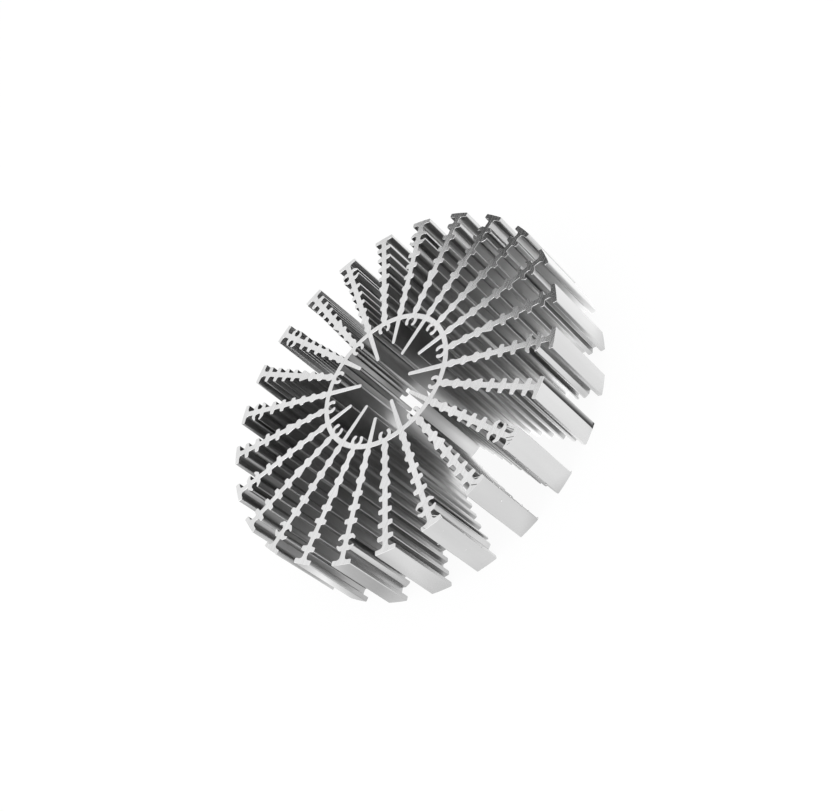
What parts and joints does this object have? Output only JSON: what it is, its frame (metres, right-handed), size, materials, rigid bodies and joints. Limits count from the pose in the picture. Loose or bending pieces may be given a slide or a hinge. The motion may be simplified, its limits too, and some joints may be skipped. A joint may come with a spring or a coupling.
{
  "type": "heat sink",
  "caption": "Round extruded aluminium heat sink with ribbed, capped fins around an open ring, screw bosses inside it and screw grooves near the fin tips.",
  "frame": {"origin": "centre of the lower sawn end, on the extrusion's axis", "axes": "+Z along the extrusion from the lower sawn end to the upper one, +X along a plain fin, with a grooved fin half a pitch on either side of it"},
  "size_m": [0.16, 0.16, 0.034],
  "materials": {
    "aluminium": "bare extruded aluminium with fine die lines along its length and plain sawn ends"
  },
  "bodies": {
    "root": {"heat_sink": "aluminium"}
  },
  "joints": []
}
